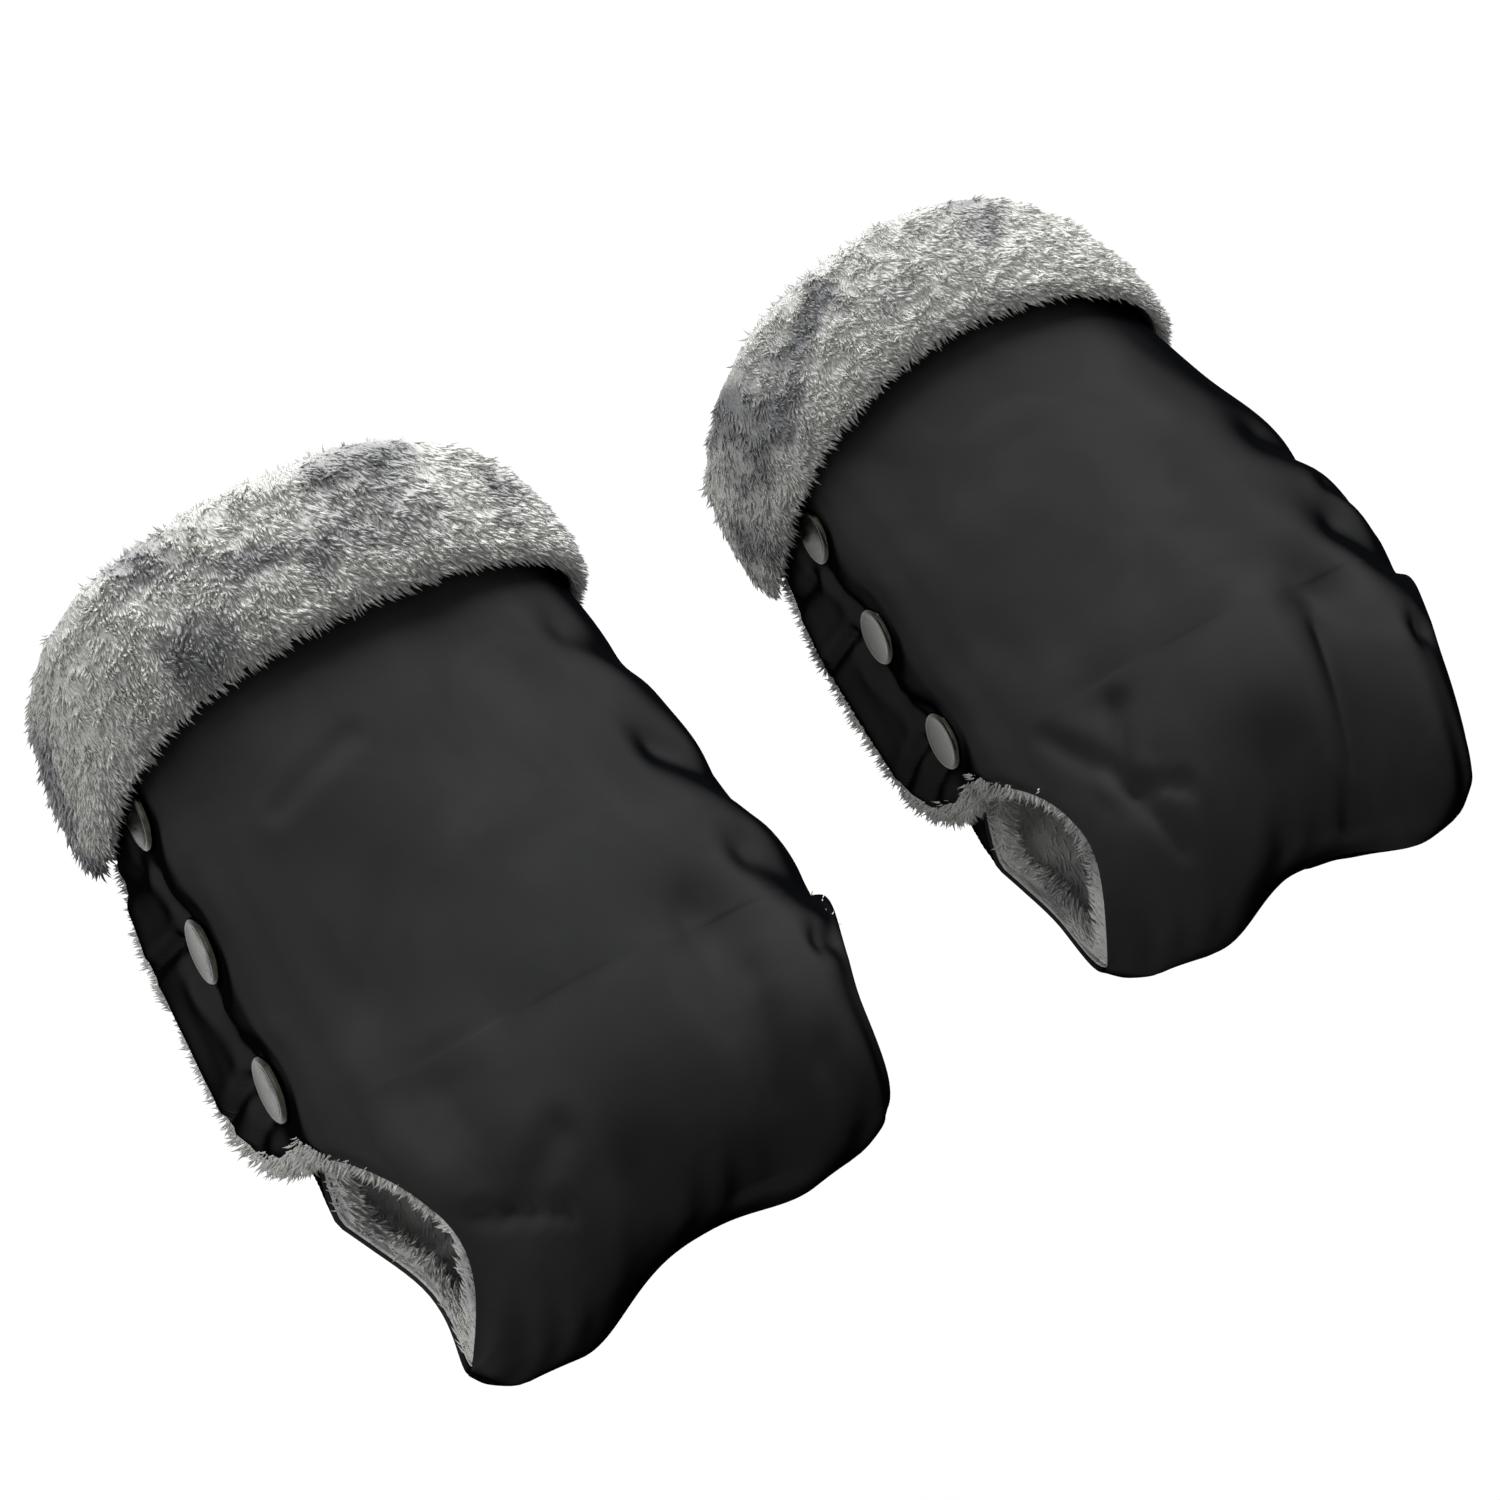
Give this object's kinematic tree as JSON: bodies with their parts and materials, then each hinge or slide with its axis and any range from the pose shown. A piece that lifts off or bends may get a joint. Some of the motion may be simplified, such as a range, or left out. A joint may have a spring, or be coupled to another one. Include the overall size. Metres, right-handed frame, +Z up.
{
  "type": "stroller hand muff",
  "caption": "Pair of padded plush-lined hand muffs that wrap a pram's handlebar, each with a turned-back cuff and a side flap closed by snaps.",
  "frame": {"origin": "on the axis of the handlebar, midway between the two muffs' bar passages", "axes": "+X along the handlebar, from the muff on the left of the picture to the one on the right; +Z up; the mouths of the muffs point to +Y and up, tilted by 30 degrees"},
  "size_m": [0.422, 0.2473, 0.1833],
  "materials": {
    "black_nylon": "matte water-repellent woven nylon, soft sheen",
    "white_wadding": "polyester wadding",
    "grey_plush": "light grey short-pile plush with a darker ground",
    "dark_nickel": "dark nickel plate"
  },
  "bodies": {
    "left_muff": {"left_front_shell": "black_nylon", "left_front_wadding": "white_wadding", "left_front_lining": "grey_plush", "left_front_cuff": "grey_plush", "left_front_cuff_backing": "black_nylon", "left_back_shell": "black_nylon", "left_back_wadding": "white_wadding", "left_back_lining": "grey_plush", "left_back_cuff": "grey_plush", "left_back_cuff_backing": "black_nylon", "left_snap_1_stud": "dark_nickel", "left_snap_1_rivet": "dark_nickel", "left_snap_2_stud": "dark_nickel", "left_snap_2_rivet": "dark_nickel", "left_snap_3_stud": "dark_nickel", "left_snap_3_rivet": "dark_nickel"},
    "left_flap": {"left_flap_shell": "black_nylon", "left_flap_lining": "grey_plush", "left_flap_cuff": "grey_plush", "left_flap_cuff_backing": "black_nylon", "left_snap_1_cap": "dark_nickel", "left_snap_1_socket": "dark_nickel", "left_snap_2_cap": "dark_nickel", "left_snap_2_socket": "dark_nickel", "left_snap_3_cap": "dark_nickel", "left_snap_3_socket": "dark_nickel"},
    "right_muff": {"right_front_shell": "black_nylon", "right_front_wadding": "white_wadding", "right_front_lining": "grey_plush", "right_front_cuff": "grey_plush", "right_front_cuff_backing": "black_nylon", "right_back_shell": "black_nylon", "right_back_wadding": "white_wadding", "right_back_lining": "grey_plush", "right_back_cuff": "grey_plush", "right_back_cuff_backing": "black_nylon", "right_snap_1_stud": "dark_nickel", "right_snap_1_rivet": "dark_nickel", "right_snap_2_stud": "dark_nickel", "right_snap_2_rivet": "dark_nickel", "right_snap_3_stud": "dark_nickel", "right_snap_3_rivet": "dark_nickel"},
    "right_flap": {"right_flap_shell": "black_nylon", "right_flap_lining": "grey_plush", "right_flap_cuff": "grey_plush", "right_flap_cuff_backing": "black_nylon", "right_snap_1_cap": "dark_nickel", "right_snap_1_socket": "dark_nickel", "right_snap_2_cap": "dark_nickel", "right_snap_2_socket": "dark_nickel", "right_snap_3_cap": "dark_nickel", "right_snap_3_socket": "dark_nickel"}
  },
  "joints": [
    {"name": "left_flap_hinge", "type": "hinge", "parent": "left_muff", "child": "left_flap", "pos_m": [-0.20714, 0.0768, 0.08668], "axis": [0.0345, 0.8718, 0.4886], "range_deg": [0, 75]},
    {"name": "right_muff_slide", "type": "slide", "parent": "left_muff", "child": "right_muff", "axis": [1, 0, 0], "range_m": [-0.01, 0.08]},
    {"name": "right_flap_hinge", "type": "hinge", "parent": "right_muff", "child": "right_flap", "pos_m": [0.03985, 0.0992, 0.07568], "axis": [0.0871, 0.9243, 0.3717], "range_deg": [0, 75]}
  ]
}
